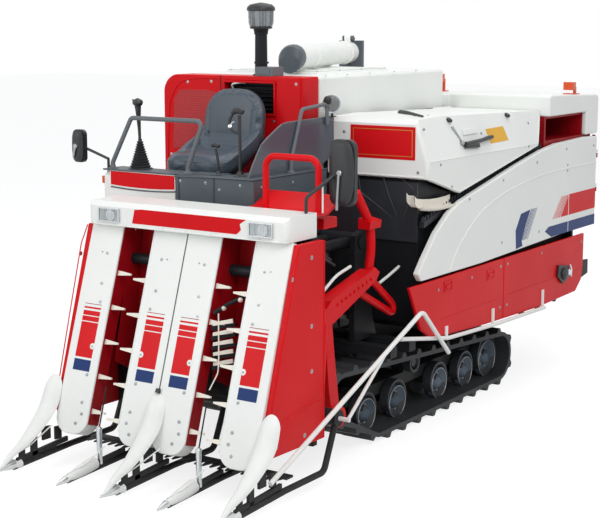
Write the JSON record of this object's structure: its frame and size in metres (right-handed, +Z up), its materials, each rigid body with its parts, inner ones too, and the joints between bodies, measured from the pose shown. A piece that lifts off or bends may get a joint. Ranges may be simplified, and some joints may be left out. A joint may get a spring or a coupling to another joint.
{
  "type": "head-feeding crawler combine harvester",
  "caption": "Compact crawler combine harvester with leaning row cases, divider tips, open driver station, grain tank, unloading auger, threshing lid and rubber tracks.",
  "frame": {"origin": "middle of the footprint, on the ground under the tracks", "axes": "+Z up, the front with the dividers faces -Y, the side where the straw passes is +X"},
  "size_m": [1.95, 4.44, 2.48],
  "materials": {
    "track_rubber": "moulded rubber, matt",
    "dark_steel": "dark painted steel, satin",
    "black_paint": "black enamel, satin",
    "white_paint": "white enamel, gloss",
    "red_paint": "red enamel, gloss",
    "dark_red_paint": "dark red enamel, satin",
    "curtain_rubber": "sheet rubber, matt",
    "grey_plastic": "grained plastic",
    "black_plastic": "grained plastic",
    "cream_plastic": "moulded plastic",
    "smoked_plastic": "smoked sheet",
    "grey_paint": "grey enamel",
    "seat_vinyl": "grained vinyl",
    "orange_lens": "clear orange lens",
    "lamp_lens": "fluted lens",
    "polished_steel": "hard chrome"
  },
  "bodies": {
    "machine": {"track_left": "track_rubber", "track_right": "track_rubber", "track_rollers_left": "dark_steel", "track_rollers_right": "dark_steel", "roller_frame_left": "black_paint", "roller_frame_right": "black_paint", "drive_sprocket_left": "dark_steel", "drive_sprocket_right": "dark_steel", "transmission_case": "black_paint", "chassis_frame": "black_paint", "threshing_housing": "black_paint", "inlet_curtain": "curtain_rubber", "feed_chain": "dark_steel", "side_skirt": "red_paint", "rear_cover": "white_paint", "straw_cutter": "dark_red_paint", "rear_frame": "black_paint", "grain_tank": "white_paint", "auger_column": "white_paint", "engine_block": "dark_steel", "operator_deck": "red_paint", "front_console": "white_paint", "side_console": "grey_plastic", "steering_lever": "curtain_rubber", "shift_levers": "black_plastic", "front_handrail": "grey_paint", "mirror_right": "black_plastic", "seat_base": "grey_plastic", "operator_seat": "seat_vinyl", "engine_hood": "red_paint", "pre_cleaner": "black_plastic", "side_guard_panel": "smoked_plastic", "side_grab_rail": "grey_paint", "work_lamp": "grey_paint", "marker_lamps": "orange_lens", "track_guard_rod": "white_paint"},
    "header": {"row_cases": "white_paint", "row_tines": "cream_plastic", "header_cover": "white_paint", "header_lamps": "lamp_lens", "header_side_panels": "red_paint", "header_frame": "black_paint", "large_dividers": "white_paint", "small_dividers": "black_paint", "knife_bar": "dark_steel", "inner_shields": "dark_red_paint", "stem_conveyor": "black_plastic", "crop_elevator": "red_paint", "crop_guide_rod": "white_paint", "guard_hoop": "red_paint", "header_back_cover": "red_paint", "mirror_left": "black_plastic"},
    "lift_barrel": {"lift_cylinder_barrel": "black_paint"},
    "lift_rod": {"lift_cylinder_rod": "polished_steel"},
    "threshing_lid": {"threshing_cover": "white_paint"},
    "drum": {"threshing_drum": "dark_steel"},
    "side_door": {"side_cover": "white_paint"},
    "radiator_door": {"radiator_cover": "red_paint"},
    "auger_head": {"auger_elbow": "grey_plastic"},
    "auger_arm": {"auger_tube": "white_paint"}
  },
  "joints": [
    {"name": "header_lift", "type": "hinge", "parent": "machine", "child": "header", "pos_m": [0.49, -0.53, 1.15], "axis": [-1, 0, 0], "range_deg": [0, 15]},
    {"name": "lift_barrel_swing", "type": "hinge", "parent": "machine", "child": "lift_barrel", "pos_m": [0.228, -0.7, 0.49], "axis": [-1, 0, 0], "range_deg": [0, 7.73]},
    {"name": "lift_rod_slide", "type": "slide", "parent": "lift_barrel", "child": "lift_rod", "axis": [0, -0.8716, 0.4903], "range_m": [0, 0.1688]},
    {"name": "threshing_lid_hinge", "type": "hinge", "parent": "machine", "child": "threshing_lid", "pos_m": [0.205, 0.6, 1.79], "axis": [0, -1, 0], "range_deg": [0, 45]},
    {"name": "drum_spin", "type": "hinge", "parent": "machine", "child": "drum", "pos_m": [0.51, 0.55, 1.475], "axis": [0, 1, 0], "continuous": true},
    {"name": "side_door_hinge", "type": "hinge", "parent": "machine", "child": "side_door", "pos_m": [0.898, 2.204, 1.25], "axis": [0, 0, 1], "range_deg": [0, 90]},
    {"name": "radiator_door_hinge", "type": "hinge", "parent": "machine", "child": "radiator_door", "pos_m": [-0.86, -0.256, 0.86], "axis": [0, 0, -1], "range_deg": [0, 80]},
    {"name": "auger_slew", "type": "hinge", "parent": "machine", "child": "auger_head", "pos_m": [-0.68, 1.47, 2.15], "axis": [0, 0, -1], "range_deg": [0, 180]},
    {"name": "auger_lift", "type": "hinge", "parent": "auger_head", "child": "auger_arm", "pos_m": [-0.64341, 1.36097, 2.249], "axis": [-0.948, -0.3181, 0], "range_deg": [0, 35]}
  ],
  "couplings": [
    {"joint": "lift_barrel_swing", "follows": "header_lift", "ratio": 0.5152},
    {"joint": "lift_rod_slide", "follows": "header_lift", "m_per_rad": 0.64472}
  ]
}
